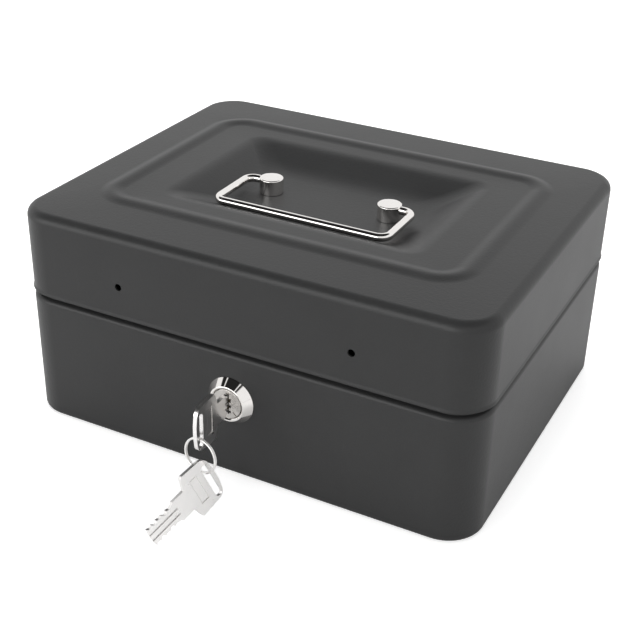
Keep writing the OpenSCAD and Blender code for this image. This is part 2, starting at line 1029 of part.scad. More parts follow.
base_shell();
lid_shell();
base_hinge_leaves();
lid_hinge_leaves();
hinge_pins();
handle_post_left();
handle_post_right();
handle_bail();
handle_screws();
handle_washers();
lock_housing();
lock_plug();
lock_wafers();
wafer_springs();
lock_washer();
lock_nut();
stop_washer();
lock_cam();
cam_washer();
cam_screw();
lid_catch();
coin_tray();
tray_rail_left();
tray_rail_right();
lock_key();
key_ring();
spare_key();
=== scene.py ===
# %% [markdown]
# # A small steel cash box
# This notebook dresses a finished mechanical model: a pressed steel box with a folding wire handle, a cam
# lock and two keys. The mechanical model gives every size and every joint. Blender gives the rounded edges of
# the pressings, the paint and the plated metal. All lengths below are written in millimetres and turned into
# metres by one factor, because the pieces are small and metres would need too many zeros.

# %% Load the mechanical model
import json
import math
import bmesh
import bpy
from mathutils import Matrix, Vector


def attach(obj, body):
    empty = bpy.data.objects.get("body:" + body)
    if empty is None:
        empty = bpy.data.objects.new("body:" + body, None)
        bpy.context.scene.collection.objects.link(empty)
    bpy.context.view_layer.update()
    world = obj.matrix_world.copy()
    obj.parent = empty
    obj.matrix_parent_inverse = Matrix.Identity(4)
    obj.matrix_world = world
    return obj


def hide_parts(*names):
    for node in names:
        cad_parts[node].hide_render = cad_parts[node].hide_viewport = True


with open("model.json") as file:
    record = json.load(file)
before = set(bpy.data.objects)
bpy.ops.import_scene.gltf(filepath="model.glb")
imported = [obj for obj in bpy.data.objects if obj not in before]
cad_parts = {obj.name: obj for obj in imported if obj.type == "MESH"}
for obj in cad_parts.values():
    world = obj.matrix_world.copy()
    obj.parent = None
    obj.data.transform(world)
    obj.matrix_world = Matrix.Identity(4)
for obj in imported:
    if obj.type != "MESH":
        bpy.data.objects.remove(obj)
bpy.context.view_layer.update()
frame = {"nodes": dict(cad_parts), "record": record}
nodes = frame["nodes"]
MM = 0.001
scene = bpy.context.scene
print("nodes:", len(nodes))

# %% [markdown]
# ## The camera
# The camera stands to the right of the box and above it, and looks down at the lid. Its direction is given by
# three angles. The columns of its matrix are the direction to its right, its own up, and the direction back
# from the subject, so the matrix can be written down directly instead of being found by a constraint.

# %% Camera
AZIMUTH, ELEVATION, ROLL = (math.radians(a) for a in (26.68, 29.24, 1.44))
CAMERA_PLACE = Vector((202.79, -409.19, 286.25))
LENS, FILM_WIDTH, NEAREST = 67.4, 36, 20
back = Vector((math.sin(AZIMUTH) * math.cos(ELEVATION), -math.cos(AZIMUTH) * math.cos(ELEVATION),
               math.sin(ELEVATION)))
level_right = Vector((0, 0, 1)).cross(back).normalized()
level_up = back.cross(level_right)
camera_right = level_right * math.cos(ROLL) + level_up * math.sin(ROLL)
camera_up = level_up * math.cos(ROLL) - level_right * math.sin(ROLL)
camera = bpy.data.objects.new("camera", bpy.data.cameras.new("camera"))
camera.data.lens = LENS
camera.data.sensor_width = FILM_WIDTH
camera.data.clip_start = NEAREST * MM
camera.matrix_world = (Matrix.Translation(CAMERA_PLACE * MM)
                       @ Matrix((camera_right, camera_up, back)).transposed().to_4x4())
scene.collection.objects.link(camera)
scene.camera = camera
scene.view_settings.view_transform = "Standard"
print("camera at", [round(c, 3) for c in camera.location])

# %% [markdown]
# ## Writing shader maths as sums
# A material in Blender is a graph of nodes. Long chains of Math nodes are hard to read, so a small class holds
# one output of a node and overloads the arithmetic operators: `1 - mask * 0.3` then adds its Math nodes by
# itself. Every other node comes from one method, which sets the node's own settings first and its sockets
# afterwards, because some settings change which sockets there are.

# %% Shader sums
class Wire:
    """One output socket of a node, with arithmetic."""

    def __init__(self, finish, socket):
        self.finish, self.socket = finish, socket

    def _sum(self, operation, first, second=None):
        sockets = {0: first} if second is None else {0: first, 1: second}
        return self.finish.node("ShaderNodeMath", {"operation": operation}, sockets)

    def __add__(self, other):
        return self._sum("ADD", self, other)

    __radd__ = __add__

    def __mul__(self, other):
        return self._sum("MULTIPLY", self, other)

    __rmul__ = __mul__

    def __sub__(self, other):
        return self._sum("SUBTRACT", self, other)

    def __rsub__(self, other):
        return self._sum("SUBTRACT", other, self)

    def __pow__(self, other):
        return self._sum("POWER", self, other)

    def clamp(self):
        return self._sum("MINIMUM", self._sum("MAXIMUM", self, 0.0), 1.0)


# %% A finish under construction
class Finish:
    """A material with one Principled shader, whose sockets take numbers, colours or wires."""

    def __init__(self, name, tree=None, **plain):
        if tree is None:
            self.material = bpy.data.materials.new(name)
            self.material.use_nodes = True
            tree = self.material.node_tree
        self.tree = tree
        tree.nodes.clear()
        if plain:
            self.shader = self.node("ShaderNodeBsdfPrincipled", {}, plain)
            self.node("ShaderNodeOutputMaterial", {}, {"Surface": self.shader})

    def node(self, kind, settings=None, sockets=None, output=0):
        """Adds a node, with its settings first, then its sockets by name or number."""
        made = self.tree.nodes.new(kind)
        for key, value in (settings or {}).items():
            setattr(made, key, value)
        for key, value in (sockets or {}).items():
            self.plug(made.inputs[key], value)
        return Wire(self, made.outputs[output]) if len(made.outputs) else None

    def plug(self, socket, value):
        if isinstance(value, Wire):
            self.tree.links.new(value.socket, socket)
        else:
            socket.default_value = value

    def set(self, **sockets):
        """Fills sockets of the Principled shader: Base_Color stands for Base Color."""
        for key, value in sockets.items():
            self.plug(self.shader.socket.node.inputs[key.replace("_", " ")], value)

    def place(self, stretch=(1, 1, 1)):
        here = self.node("ShaderNodeTexCoord", output="Object")
        return self.node("ShaderNodeMapping", {}, {"Vector": here, "Scale": stretch})

    def noise(self, size, detail=2.0, stretch=(1, 1, 1)):
        """Clouds whose features are about that many millimetres across."""
        return self.node("ShaderNodeTexNoise", {}, {
            "Vector": self.place(stretch), "Scale": 1 / (size * MM), "Detail": detail})

    def blend(self, factor, first, second):
        """Mixes two colours, which are sockets 6 and 7 of the Mix node and come out at 2."""
        return self.node("ShaderNodeMix", {"data_type": "RGBA"}, {0: factor, 6: first, 7: second}, output=2)

    def bump(self, height, depth, below=None):
        """A bump of that many millimetres between height 0 and height 1."""
        sockets = {"Height": height, "Strength": 1.0, "Distance": depth * MM}
        if below is not None:
            sockets["Normal"] = below
        return self.node("ShaderNodeBump", {}, sockets)


def grey(level, warm=0.0):
    """A linear grey, a little warm or cold."""
    return (level * (1 + warm), level, level * (1 - warm), 1)


# %% [markdown]
# ## The paint
# The box is stove-enamelled in a satin charcoal. Seen closely, such paint has a very fine orange peel, and the
# thin sheet under it is never quite flat, which makes its soft reflections waver. So three clouds go into the
# bump: the sheet's slow wave, the peel, and a grain finer than a millimetre. The grain and a fourth cloud of
# broad patches also shift the colour and the roughness a little, because a perfectly even satin looks like
# plastic. The index of refraction sets how much of the white room the paint mirrors, and most of the tone of
# a paint this dark is that mirrored room.

# %% Charcoal paint
WAVE_DEPTH, PEEL_DEPTH, GRAIN_DEPTH = 0.25, 0.03, 0.06


def charcoal_paint():
    paint = Finish("charcoal_paint", Metallic=0.0, IOR=1.37)
    wave = paint.noise(55, detail=1.0)
    peel = paint.noise(1.8, detail=2.0)
    grain = paint.noise(0.8, detail=3.0)
    patches = paint.noise(18, detail=3.0)
    shade = paint.blend((patches * 0.5 + grain * 0.5).clamp(), grey(0.015, -0.01), grey(0.024, -0.01))
    paint.set(Base_Color=shade,
              Roughness=(0.35 + patches * 0.05 + grain * 0.06).clamp(),
              Normal=paint.bump(grain, GRAIN_DEPTH,
                                paint.bump(peel, PEEL_DEPTH, paint.bump(wave, WAVE_DEPTH))))
    return paint.material


# %% [markdown]
# ## Plated metal
# Chrome, nickel and zinc differ mostly in how sharp their reflections are. Chrome is almost a mirror with a few
# faint smears from fingers. Nickel on a stamped key is softer and carries fine scratches along the blade. Zinc
# is duller still and has cloudy crystals. Roughness does most of the work, so each finish is a base roughness
# plus one or two clouds, and the scratches are clouds stretched along one direction. The face of the lock's
# plug is darker and keeps the fine rings of the lathe under its chrome. They are a sine of the distance from
# the lock's axis, so they are true circles.

# %% Chrome, nickel, zinc and brass
def chrome_plate():
    metal = Finish("chrome_plate", Metallic=1.0)
    smear = metal.noise(7, detail=3.0)
    fine = metal.noise(0.5, detail=2.0)
    metal.set(Base_Color=metal.blend(smear, grey(0.74, 0.035), grey(0.82, 0.02)),
              Roughness=(0.03 + smear ** 2 * 0.10 + fine * 0.02).clamp())
    return metal.material


def key_nickel():
    metal = Finish("key_nickel", Metallic=1.0)
    scratch = metal.noise(0.35, detail=3.0, stretch=(1, 0.12, 0.3))
    cloud = metal.noise(4, detail=2.0)
    metal.set(Base_Color=metal.blend(cloud, grey(0.84, 0.012), grey(0.92, 0.016)),
              Roughness=(0.22 + scratch * 0.10 + cloud * 0.05).clamp(),
              Normal=metal.bump(scratch, 0.004, metal.bump(cloud, 0.01)))
    return metal.material


LOCK_Z = 34.5
RING_PITCH = 0.16


def faced_chrome():
    """Chrome over the fine rings that a lathe leaves on the face of the plug."""
    metal = Finish("faced_chrome", Metallic=1.0)
    here = metal.node("ShaderNodeVectorMath", {"operation": "MULTIPLY_ADD"}, {
        0: metal.place(), 1: (1, 0, 1), 2: (0, 0, -LOCK_Z * MM)})
    radius = metal.node("ShaderNodeVectorMath", {"operation": "LENGTH"}, {0: here}, output="Value")
    rings = metal.node("ShaderNodeMath", {"operation": "SINE"}, {0: radius * (2 * math.pi / (RING_PITCH * MM))})
    smear = metal.noise(2.5, detail=3.0)
    metal.set(Base_Color=metal.blend(smear, grey(0.42, 0.05), grey(0.58, 0.03)),
              Roughness=(0.10 + smear * 0.12).clamp(),
              Normal=metal.bump(rings, 0.006))
    return metal.material


def zinc_plate():
    metal = Finish("zinc_plate", Metallic=1.0)
    crystal = metal.node("ShaderNodeTexVoronoi", {}, {"Vector": metal.place(), "Scale": 1 / (1.6 * MM)})
    cloud = metal.noise(6, detail=3.0)
    metal.set(Base_Color=metal.blend(cloud, (0.46, 0.47, 0.48, 1), (0.62, 0.61, 0.58, 1)),
              Roughness=(0.28 + crystal * 0.14 + cloud * 0.10).clamp(),
              Normal=metal.bump(metal.noise(0.5), 0.01))
    return metal.material


def lock_brass():
    metal = Finish("lock_brass", Metallic=1.0)
    stain = metal.noise(2.5, detail=3.0)
    metal.set(Base_Color=metal.blend(stain, (0.50, 0.33, 0.13, 1), (0.72, 0.52, 0.24, 1)),
              Roughness=(0.24 + stain * 0.2).clamp())
    return metal.material


# %% [markdown]
# ## The tray's plastic
# The coin tray is vacuum-formed or moulded in black polystyrene with a fine matt grain, so that coins do not
# stick to it. The grain is a Voronoi pattern, because its cells have the round pebble shape of a mould's
# texture, and the highlights get a little rougher where the cells meet.

# %% Tray plastic
def tray_plastic():
    plastic = Finish("tray_plastic", Metallic=0.0, IOR=1.5)
    pebble = plastic.node("ShaderNodeTexVoronoi", {"feature": "SMOOTH_F1"}, {
        "Vector": plastic.place(), "Scale": 1 / (0.7 * MM)})
    cloud = plastic.noise(22, detail=3.0)
    plastic.set(Base_Color=plastic.blend(cloud, grey(0.013), grey(0.019)),
                Roughness=(0.46 + pebble * 0.1 + cloud * 0.06).clamp(),
                Normal=plastic.bump(pebble, 0.03))
    return plastic.material


# %% All finishes, and the material slot of the model that each belongs to
FINISHES = {"paint": charcoal_paint(), "faced": faced_chrome(), "chrome": chrome_plate(),
            "nickel": key_nickel(), "zinc": zinc_plate(), "brass": lock_brass(), "plastic": tray_plastic()}
SLOTS = {"paint": "shell_paint", "faced": "chrome", "chrome": "chrome", "nickel": "key_nickel",
         "zinc": "zinc", "brass": "brass", "plastic": "tray_plastic"}
print("finishes:", ", ".join(FINISHES))

# %% [markdown]
# ## Helpers for making pieces
# Every piece follows the same path: a bmesh is shaped with operators, scaled from millimetres to metres, given
# a finish and told which moving body it rides on. Shading is smooth except across edges sharper than a given
# angle, and a Weighted Normal modifier keeps broad flat faces looking flat beside their small rounded edges.

# %% Making a piece
SHARP = 32           # degrees: an edge that turns by more stays sharp
FLAT_WEIGHT = 60     # how strongly broad faces decide the shading, of 100


def new_piece(name, bm, finish, body, replaces=(), sharp=SHARP):
    bmesh.ops.scale(bm, vec=(MM, MM, MM), verts=bm.verts)
    mesh = bpy.data.meshes.new(name)
    bm.to_mesh(mesh)
    bm.free()
    mesh.materials.append(FINISHES[finish])
    piece = bpy.data.objects.new(name, mesh)
    scene.collection.objects.link(piece)
    smooth(piece, sharp)
    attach(piece, body)
    if replaces:
        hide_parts(*replaces)
    print(f"{name}: {len(mesh.polygons)} faces on {body}")
    return piece


def smooth(piece, sharp):
    piece.data.shade_smooth()
    piece.data.set_sharp_from_angle(angle=math.radians(sharp))


def settle(piece, sharp=SHARP):
    """Applies the modifiers, so that the mesh is what is seen."""
    graph = bpy.context.evaluated_depsgraph_get()
    finished = bpy.data.meshes.new_from_object(piece.evaluated_get(graph))
    piece.modifiers.clear()
    piece.data = finished
    smooth(piece, sharp)


def keep_flats_flat(piece):
    normals = piece.modifiers.new("flat_faces", "WEIGHTED_NORMAL")
    normals.keep_sharp = True
    normals.weight = FLAT_WEIGHT


# %% Cutting one shape out of another
def cut(piece, bm):
    """Cuts the shape in bm, in millimetres, out of the piece."""
    bmesh.ops.scale(bm, vec=(MM, MM, MM), verts=bm.verts)
    bmesh.ops.recalc_face_normals(bm, faces=bm.faces)
    mesh = bpy.data.meshes.new("cutter")
    bm.to_mesh(mesh)
    bm.free()
    cutter = bpy.data.objects.new("cutter", mesh)
    scene.collection.objects.link(cutter)
    boolean = piece.modifiers.new("cut", "BOOLEAN")
    boolean.operation, boolean.solver, boolean.object = "DIFFERENCE", "EXACT", cutter
    settle(piece)
    bpy.data.objects.remove(cutter)


def add_block(bm, low, high):
    """A block given by its two corners."""
    made = bmesh.ops.create_cube(bm, size=1)["verts"]
    bmesh.ops.scale(bm, vec=Vector(high) - Vector(low), verts=made)
    bmesh.ops.translate(bm, vec=(Vector(low) + Vector(high)) / 2, verts=made)
    return made


def add_rod(bm, start, end, radius, steps=48):
    """A round bar from one point to another."""
    start, end = Vector(start), Vector(end)
    made = bmesh.ops.create_cone(bm, cap_ends=True, segments=steps, radius1=radius, radius2=radius,
                                 depth=(end - start).length)["verts"]
    turn = Vector((0, 0, 1)).rotation_difference(end - start).to_matrix()
    bmesh.ops.rotate(bm, cent=(0, 0, 0), matrix=turn, verts=made)
    bmesh.ops.translate(bm, vec=(start + end) / 2, verts=made)


def flatten_sides(bm, distance):
    """Cuts both sides off flat, at that distance from the middle."""
    for side in (-1, 1):
        bmesh.ops.bisect_plane(bm, geom=bm.verts[:] + bm.edges[:] + bm.faces[:],
                               plane_co=(side * distance, 0, 0), plane_no=(side, 0, 0), clear_outer=True)
        bmesh.ops.holes_fill(bm, edges=[edge for edge in bm.edges if edge.is_boundary])


# %% What an operator made
def verts_of(geometry):
    return [item for item in geometry if isinstance(item, bmesh.types.BMVert)]


def edges_of(geometry):
    return [item for item in geometry if isinstance(item, bmesh.types.BMEdge)]


def close_ends(bm, *ends):
    """Puts a face on each open end, and turns all faces outwards."""
    for end in ends:
        bmesh.ops.contextual_create(bm, geom=end)
    bmesh.ops.recalc_face_normals(bm, faces=bm.faces)


# %% [markdown]
# ## Pressings
# A lid like this starts as one flat sheet that is pressed over a tool, so every level line round it is a
# rounded rectangle. That suggests the modelling method: draw a rounded rectangle at each height where the
# section changes, and bridge each one to the next. A rounded rectangle is a square face whose four corners are
# bevelled as vertices. Because each has the same number of points, the bridges are clean strips of quads.

# %% Rounded outlines, bridged
CORNER_STEPS = 14
SHEET = 0.9


def rounded_outline(bm, half_x, half_y, radius, z):
    corners = [bm.verts.new((sx * half_x, sy * half_y, z)) for sx, sy in ((1, 1), (-1, 1), (-1, -1), (1, -1))]
    bm.faces.new(corners)
    made = bmesh.ops.bevel(bm, geom=corners, offset=radius, offset_type="OFFSET", segments=CORNER_STEPS,
                           profile=0.5, affect="VERTICES", material=-1)
    rim = {edge for vert in made["verts"] for edge in vert.link_edges}
    inside = {face for vert in made["verts"] for face in vert.link_faces}
    bmesh.ops.delete(bm, geom=list(inside), context="FACES_ONLY")
    return list(rim)


def press(bm, stations, close_first=False, close_last=True):
    """Bridges rounded outlines, each (half width, half depth, corner radius, height)."""
    outlines = [rounded_outline(bm, *station) for station in stations]
    for lower, upper in zip(outlines, outlines[1:]):
        bmesh.ops.bridge_loops(bm, edges=lower + upper)
    for wanted, outline in ((close_first, outlines[0]), (close_last, outlines[-1])):
        if wanted:
            bmesh.ops.contextual_create(bm, geom=outline)
    bmesh.ops.recalc_face_normals(bm, faces=bm.faces)


def sheet_metal(piece):
    """Gives a pressed surface its thickness, inward."""
    wall = piece.modifiers.new("wall", "SOLIDIFY")
    wall.thickness, wall.offset, wall.use_even_offset = SHEET * MM, -1, True
    settle(piece)


# %% [markdown]
# ### The lid
# From the bottom up the lid has a small flare where the sheet is trimmed, a straight skirt, a rounded top edge,
# a border that falls very slightly outward, a low stiffening ridge, and the recess for the handle. The ridge is
# a cosine wave, since a press can't make a sharp foot. The recess has straight slopes with a soft rim, and a
# parabola carries the slope into the floor.

# %% Lid sections
WIDE, DEEP, CORNER = 100.0, 80.0, 15.4                           # half width, half depth, corner radius
FLARE = ((-0.35, 57.0), (-0.35, 57.35), (-0.12, 57.9), (0, 58.7))    # inset and height of the lid's foot
EDGE, EDGE_STEPS = 4.0, 7
TOP, BORDER_OUT, BAND = 92.5, 92.25, 92.62                       # recess rim, outer border, foot of the ridge
CREST_X, CREST_Y, CREST_CORNER, CREST_Z, RIDGE_FOOT, RIDGE_STEPS = 77.2, 51.8, 12.0, 93.6, 5.4, 6
RIM_X, RIM_Y, RIM_CORNER, CORNER_GROWTH = 55.3, 37.5, 6.0, 0.12
SLOPE, RIM_SOFT, SLOPE_END, FLOOR_START, RECESS = math.tan(math.radians(24.06)), 3.2, 10.3, 21.5, 7.1
RECESS_STOPS = (-RIM_SOFT, -2, -0.8, 0.4, 1.6, RIM_SOFT, 6.5, SLOPE_END, 12, 14, 16, 18, 20, FLOOR_START)


def inset(amount, z):
    """The box's own outline at a height, that much smaller all round."""
    return (WIDE - amount, DEEP - amount, CORNER - amount, z)


def recess_depth(t):
    """How far the recess has fallen at a distance t inward from its rim."""
    if t < RIM_SOFT:
        return SLOPE * (t + RIM_SOFT) ** 2 / (4 * RIM_SOFT)
    if t < SLOPE_END:
        return SLOPE * t
    return RECESS - SLOPE * (FLOOR_START - t) ** 2 / (2 * (FLOOR_START - SLOPE_END))


lid_stations = [inset(amount, z) for amount, z in FLARE]
for step in range(EDGE_STEPS + 1):
    angle = math.radians(90 * step / EDGE_STEPS)
    lid_stations.append(inset(EDGE * (1 - math.cos(angle)), BORDER_OUT - EDGE + EDGE * math.sin(angle)))
for step in range(2 * RIDGE_STEPS + 1):
    out = RIDGE_FOOT * (1 - step / RIDGE_STEPS)
    rise = (1 + math.cos(math.pi * out / RIDGE_FOOT)) / 2
    lid_stations.append((CREST_X + out, CREST_Y + out, CREST_CORNER + out, BAND + (CREST_Z - BAND) * rise))
for t in RECESS_STOPS:
    lid_stations.append((RIM_X - t, RIM_Y - t, max(RIM_CORNER, RIM_CORNER - t) + CORNER_GROWTH * max(t, 0),
                         TOP - recess_depth(t)))
print("lid sections:", len(lid_stations), "floor of the recess at", round(lid_stations[-1][3], 2))

# %% Lid
FRONT_HOLE_X, FRONT_HOLE_Z, FRONT_HOLE_R = 50, 70.1, 1.5
POST_X, SCREW_HOLE_R = 27.3, 1.7
bm = bmesh.new()
press(bm, lid_stations)
lid = new_piece("lid_sheet", bm, "paint", "lid", ["lid_shell"])
sheet_metal(lid)
bm = bmesh.new()
for side in (-1, 1):
    add_rod(bm, (side * FRONT_HOLE_X, -DEEP - 2, FRONT_HOLE_Z), (side * FRONT_HOLE_X, -DEEP + 3, FRONT_HOLE_Z),
            FRONT_HOLE_R, 32)
    add_rod(bm, (side * POST_X, 0, 83), (side * POST_X, 0, 87), SCREW_HOLE_R, 24)
cut(lid, bm)
keep_flats_flat(lid)

# %% [markdown]
# ### The base
# The base is pressed the same way. Its bottom edge is bent over a radius, and near its top the wall steps
# inward over a shoulder of the same radius and goes on as a lip that the lid closes over. That shoulder is
# what catches the light below the seam. The holes are cut after the sheet has its thickness: one for the
# lock, which is round with two flats so that the lock can't turn, and two slots for the straps of the hinges.

# %% Base
BEND, SHOULDER_Z = 2, 52.8
LIP_IN, LIP_TOP = 2.4, 63
LOCK_HOLE_R, LOCK_HOLE_FLAT = 8.45, 7.45
STRAP_X, STRAP_HALF = 62, 15.4
turns = [math.radians(15 * step) for step in range(7)]
base_stations = [inset(BEND - BEND * math.sin(a), BEND - BEND * math.cos(a)) for a in turns]
base_stations.append(inset(0, SHOULDER_Z))
base_stations += [inset(BEND - BEND * math.cos(a), SHOULDER_Z + BEND * math.sin(a)) for a in turns[1:]]
base_stations += [inset(2.28, 54.92), inset(LIP_IN, 55.2), inset(LIP_IN, LIP_TOP)]
bm = bmesh.new()
press(bm, base_stations, close_first=True, close_last=False)
base = new_piece("base_sheet", bm, "paint", "box", ["base_shell"])
sheet_metal(base)
bm = bmesh.new()
add_rod(bm, (0, -82, LOCK_Z), (0, -77, LOCK_Z), LOCK_HOLE_R, 64)
flatten_sides(bm, LOCK_HOLE_FLAT)
for side in (-1, 1):
    add_block(bm, (side * STRAP_X - STRAP_HALF, 76.2, 54.82), (side * STRAP_X + STRAP_HALF, 78.1, 55.8))
cut(base, bm)
keep_flats_flat(base)

# %% [markdown]
# ## Pieces turned on a lathe
# The handle's posts, the lock's bezel and its plug are round. A turned piece is its own half section, carried
# once round its axis by the spin operator. The section is drawn as points, each a radius and a place along the
# axis, and its corners are broken by a small bevel, as the lathe's tool does.

# %% Turning
def turn_section(bm, section, centre, axis, steps=96, closed=False, sweep=360):
    """Spins a half section, points of (radius, place along the axis), round Y or Z."""
    if axis == "Z":
        points = [Vector((r, 0, a)) for r, a in section]
        direction = (0, 0, 1)
    else:
        points = [Vector((r, a, 0)) for r, a in section]
        direction = (0, 1, 0)
    verts = [bm.verts.new(p + Vector(centre)) for p in points]
    pairs = list(zip(verts, verts[1:] + verts[:1])) if closed else list(zip(verts, verts[1:]))
    edges = [bm.edges.new(pair) for pair in pairs]
    full = sweep == 360
    made = bmesh.ops.spin(bm, geom=verts + edges, cent=centre, axis=direction, angle=math.radians(sweep),
                          steps=steps, use_merge=full, use_duplicate=False)
    bmesh.ops.remove_doubles(bm, verts=bm.verts, dist=0.0005)
    close_ends(bm, *(() if full else (edges, edges_of(made["geom_last"]))))


# %% [markdown]
# ### Handle posts
# Each post is a chromed steel stud that stands on the floor of the recess. Its top is slightly crowned and its
# edge is broken, which gives the bright thin ring that a turned stud shows. The bail turns in a cross hole.

# %% Posts
POST_R, FLOOR_Z, PIVOT_Z = 5.1, 85.4, 90.1
CROSS_HOLE_R, CROSS_HOLE_DEPTH = 1.78, 6.5
THREAD_R, THREAD_DEPTH = 1.65, 2.75
post_section = [(0, FLOOR_Z), (4.95, FLOOR_Z), (POST_R, FLOOR_Z + 0.15), (POST_R, 91.5), (5.04, 91.74),
                (4.88, 91.92), (4.6, 92.02), (3.6, 92.09), (2.0, 92.13), (0, 92.15)]
for side, name in ((-1, "left"), (1, "right")):
    bm = bmesh.new()
    turn_section(bm, post_section, (side * POST_X, 0, 0), "Z", 72)
    post = new_piece("post_" + name, bm, "chrome", "lid", ["handle_post_" + name])
    bm = bmesh.new()
    inner = side * (POST_X + POST_R - CROSS_HOLE_DEPTH)
    add_rod(bm, (inner, 0, PIVOT_Z), (side * 40, 0, PIVOT_Z), CROSS_HOLE_R, 40)
    add_rod(bm, (side * POST_X, 0, FLOOR_Z - 1), (side * POST_X, 0, FLOOR_Z + THREAD_DEPTH), THREAD_R, 32)
    cut(post, bm)
    keep_flats_flat(post)

# %% [markdown]
# ### The bail
# The bail is one length of round wire with four bends. It is made as it is in the workshop: a round end is
# pulled straight, then bent about a centre, then pulled again. Pulling is an extrusion, bending is a spin of
# the last ring of edges.

# %% Wire bending
BEND_STEPS = 12


def pull(bm, ring, distance):
    made = bmesh.ops.extrude_edge_only(bm, edges=ring)["geom"]
    bmesh.ops.translate(bm, vec=distance, verts=verts_of(made))
    return [edge for edge in edges_of(made) if all(vert in made for vert in edge.verts)]


def bend(bm, ring, centre):
    """Bends the wire a quarter turn to the right, as seen from above."""
    made = bmesh.ops.spin(bm, geom=ring, cent=centre, axis=(0, 0, 1), angle=math.radians(-90),
                          steps=BEND_STEPS, use_duplicate=False)
    return edges_of(made["geom_last"])


def wire_end(bm, centre, direction, radius, steps=28):
    verts = bmesh.ops.create_circle(bm, segments=steps, radius=radius, cap_ends=False)["verts"]
    turn = Vector((0, 0, 1)).rotation_difference(Vector(direction)).to_matrix()
    bmesh.ops.rotate(bm, cent=(0, 0, 0), matrix=turn, verts=verts)
    bmesh.ops.translate(bm, vec=centre, verts=verts)
    return list({edge for vert in verts for edge in vert.link_edges})


# %% Bail
BAIL_X, BAIL_REACH, BEND_R, WIRE_R = 38.1, 27.6, 4.2, 1.7
WIRE_IN_POST = 6.0
wire_start = POST_X + POST_R - WIRE_IN_POST
centre_x, near_y, far_y = BAIL_X - BEND_R, -BEND_R, -BAIL_REACH + BEND_R
pivot_run, arm = centre_x - wire_start, BAIL_REACH - 2 * BEND_R
bm = bmesh.new()
start = ring = wire_end(bm, (wire_start, 0, PIVOT_Z), (1, 0, 0), WIRE_R)
for run, x, y in (((pivot_run, 0, 0), centre_x, near_y), ((0, -arm, 0), centre_x, far_y),
                  ((-2 * centre_x, 0, 0), -centre_x, far_y), ((0, arm, 0), -centre_x, near_y)):
    ring = bend(bm, pull(bm, ring, run), (x, y, PIVOT_Z))
close_ends(bm, start, pull(bm, ring, (pivot_run, 0, 0)))
bail = new_piece("bail_wire", bm, "chrome", "bail", ["handle_bail"], sharp=50)
print("bail spans", [round(d * 1000, 1) for d in bail.dimensions], "mm")

# %% [markdown]
# ## The lock
# The part of a cam lock that shows is a chromed bezel shaped like a low cone, and inside it the face of the
# plug, which sits a little deeper. The cone stands on a thin undercut foot, which draws a dark line round it.
# The barrel behind the wall has two flats, made by cutting a turned ring with two planes. Behind it a short
# rim leaves a quarter turn free for the stop washer's tab.

# %% Bezel and barrel
LOCK = (0, 0, LOCK_Z)
BARREL_R, BARREL_FLAT = 8.4, 7.4
RIM_START, RIM_SWEEP = 22, -226                # degrees
bezel_section = [(6.36, -80.0), (9.55, -80.0), (9.55, -80.12), (9.96, -80.14), (10.0, -80.19), (9.96, -80.24),
                 (7.66, -83.3), (7.54, -83.42), (7.36, -83.49), (7.1, -83.5), (6.95, -83.48), (6.5, -83.05),
                 (6.38, -82.8)]
bm = bmesh.new()
turn_section(bm, bezel_section, LOCK, "Y", 128, closed=True)
bezel = new_piece("lock_bezel", bm, "chrome", "box", ["lock_housing"])
bm = bmesh.new()
turn_section(bm, [(6.05, -79.98), (BARREL_R, -79.98), (BARREL_R, -65.7), (8.2, -65.5), (6.05, -65.5)], LOCK,
             "Y", 96, closed=True)
flatten_sides(bm, BARREL_FLAT)
new_piece("lock_barrel", bm, "zinc", "box")
bm = bmesh.new()
turn_section(bm, [(6.9, -65.52), (8.3, -65.52), (8.3, -64.5), (6.9, -64.5)], LOCK, "Y", 60, closed=True,
             sweep=RIM_SWEEP)
bmesh.ops.rotate(bm, cent=LOCK, matrix=Matrix.Rotation(math.radians(RIM_START), 3, "Y"), verts=bm.verts)
new_piece("lock_stop_rim", bm, "zinc", "box")

# %% [markdown]
# ### The plug
# The plug is turned solid and then cut: the keyway right through, three steps in the keyway's side that only
# the right key passes, and a small notch across the joint of plug and bezel, which shows where the key stands.
# The cuts overlap each other, so each is its own boolean, because blocks that overlap in one cutter confuse
# the exact solver.

# %% Plug
KEYWAY_HALF_WIDE, KEYWAY_HALF_HIGH = 1.1, 4.15
WARDS, WARD_IN, WARD_OUT = ((30.9, 31.9), (33.2, 34.4), (35.6, 37.2)), 1.0, 1.9
NOTCH_TURN, NOTCH_HALF = 45, 0.3
IN_FRONT = -84                                 # a place before the lock's face, where its cuts start
plug_section = [(0, -83.2), (5.95, -83.2), (6.2, -83.12), (6.3, -82.9), (6.3, -81.8), (6.2, -81.7), (6.0, -81.7),
                (6.0, -65.4), (0, -65.4)]
bm = bmesh.new()
turn_section(bm, plug_section, LOCK, "Y", 96)
add_block(bm, (-2.5, -65.5, 32.0), (2.5, -62.9, 37.0))
plug = new_piece("lock_plug_turned", bm, "faced", "plug", ["lock_plug"])
bm = bmesh.new()
add_block(bm, (-KEYWAY_HALF_WIDE, IN_FRONT, LOCK_Z - KEYWAY_HALF_HIGH),
          (KEYWAY_HALF_WIDE, -70.5, LOCK_Z + KEYWAY_HALF_HIGH))
cut(plug, bm)
for low, high in WARDS:
    bm = bmesh.new()
    add_block(bm, (WARD_IN, IN_FRONT, low), (WARD_OUT, -80.5, high))
    cut(plug, bm)
for piece, start, end, floor_y in ((plug, 3.9, 6.6, -82.8), (bezel, 6.2, 7.2, -83.1)):
    bm = bmesh.new()
    notch = add_block(bm, (start, IN_FRONT, -NOTCH_HALF), (end, floor_y, NOTCH_HALF))
    bmesh.ops.rotate(bm, cent=(0, 0, 0), matrix=Matrix.Rotation(math.radians(NOTCH_TURN), 3, "Y"), verts=notch)
    bmesh.ops.translate(bm, vec=LOCK, verts=notch)
    cut(piece, bm)
keep_flats_flat(bezel)
